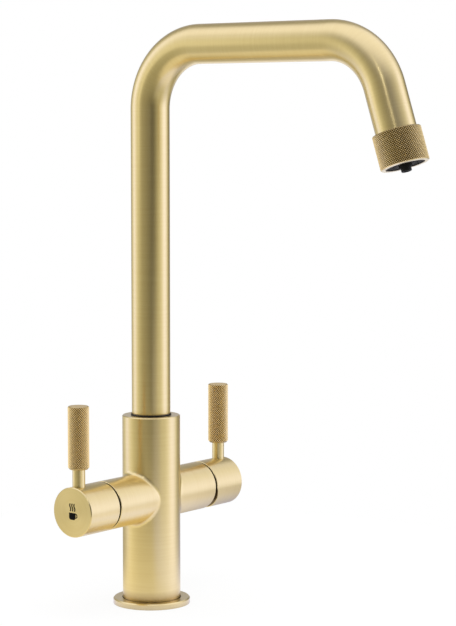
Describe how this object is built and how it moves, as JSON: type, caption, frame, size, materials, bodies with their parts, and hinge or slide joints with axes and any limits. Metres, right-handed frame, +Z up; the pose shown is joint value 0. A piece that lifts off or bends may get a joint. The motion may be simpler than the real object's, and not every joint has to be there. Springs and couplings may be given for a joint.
{
  "type": "three-in-one kitchen tap",
  "caption": "Deck-mounted kitchen tap with a swivelling square spout, a mixer lever for hot and cold water, a quarter-turn lever for boiling water and knurled grips.",
  "frame": {"origin": "centre of the deck ring's underside, on the deck surface", "axes": "+Z up along the column, spout to -Y, mixer arm to +X, boiling-water arm to -X"},
  "size_m": [0.1558, 0.2324, 0.4358],
  "materials": {
    "satin_brass": "fine brushed satin, lacquered",
    "knurled_brass": "diamond knurled, warmer and darker",
    "raw_brass": "machined, uncoated",
    "steel": "plain stainless",
    "rubber": "matte black rubber",
    "black_plastic": "black, smooth",
    "grey_plastic": "dark grey moulded",
    "hose_silicone": "milky silicone",
    "ceramic": "ground ceramic, opaque"
  },
  "bodies": {
    "tap_body": {"tap_body": "satin_brass", "base_ring": "satin_brass", "base_seal": "rubber", "mounting_shank": "raw_brass", "glide_bush": "black_plastic", "stop_screw": "steel", "boil_valve_shell": "raw_brass", "boil_lip_seal": "rubber", "boil_fixed_disc": "ceramic", "boil_spindle_seal": "rubber", "mixer_base_seals": "rubber", "mixer_cartridge_base": "grey_plastic", "mixer_fixed_disc": "ceramic", "mixer_cartridge_shell": "grey_plastic", "mixer_retaining_nut": "raw_brass"},
    "deck_clamp": {"rubber_washer": "rubber", "steel_washer": "steel", "backnut": "raw_brass"},
    "spout": {"spout_tube": "satin_brass", "swivel_spigot": "raw_brass", "spigot_o_rings": "rubber", "boil_hose": "hose_silicone", "boil_nipple": "raw_brass", "boil_nipple_seal": "rubber", "nozzle_insert": "raw_brass", "nozzle_collar": "knurled_brass", "aerator_seal": "rubber", "aerator_body": "grey_plastic", "aerator_grid": "steel", "boil_outlet": "black_plastic"},
    "boil_lever": {"boil_knob": "satin_brass", "boil_knob_screw": "steel", "boil_lever_stem": "satin_brass", "boil_lever_grip": "knurled_brass", "boil_spindle": "raw_brass", "boil_moving_disc": "ceramic"},
    "mixer_turn": {"mixer_lever_holder": "grey_plastic", "mixer_pivot_pin": "steel"},
    "mixer_lever": {"mixer_knob": "satin_brass", "mixer_knob_screw": "steel", "mixer_stem": "steel", "mixer_lever_stem": "satin_brass", "mixer_lever_grip": "knurled_brass"},
    "mixer_disc": {"mixer_moving_disc": "ceramic", "mixer_disc_carrier": "grey_plastic"}
  },
  "joints": [
    {"name": "spout_swivel", "type": "hinge", "parent": "tap_body", "child": "spout", "pos_m": [0, 0, 0.0935], "axis": [0, 0, 1], "range_deg": [-90, 90]},
    {"name": "boil_turn", "type": "hinge", "parent": "tap_body", "child": "boil_lever", "pos_m": [-0.06, 0, 0.0705], "axis": [1, 0, 0], "range_deg": [0, 90]},
    {"name": "mixer_turn", "type": "hinge", "parent": "tap_body", "child": "mixer_turn", "pos_m": [0.0416, 0, 0.0705], "axis": [1, 0, 0], "range_deg": [-45, 45]},
    {"name": "mixer_tilt", "type": "hinge", "parent": "mixer_turn", "child": "mixer_lever", "pos_m": [0.0416, 0, 0.0705], "axis": [0, 1, 0], "range_deg": [0, 15]},
    {"name": "disc_slide", "type": "slide", "parent": "mixer_turn", "child": "mixer_disc", "axis": [0, 0, 1], "range_m": [0, 0.00184]},
    {"name": "clamp_travel", "type": "slide", "parent": "tap_body", "child": "deck_clamp", "axis": [0, 0, 1], "range_m": [0, 0.034]}
  ],
  "couplings": [
    {"joint": "disc_slide", "follows": "mixer_tilt", "m_per_rad": 0.007}
  ]
}
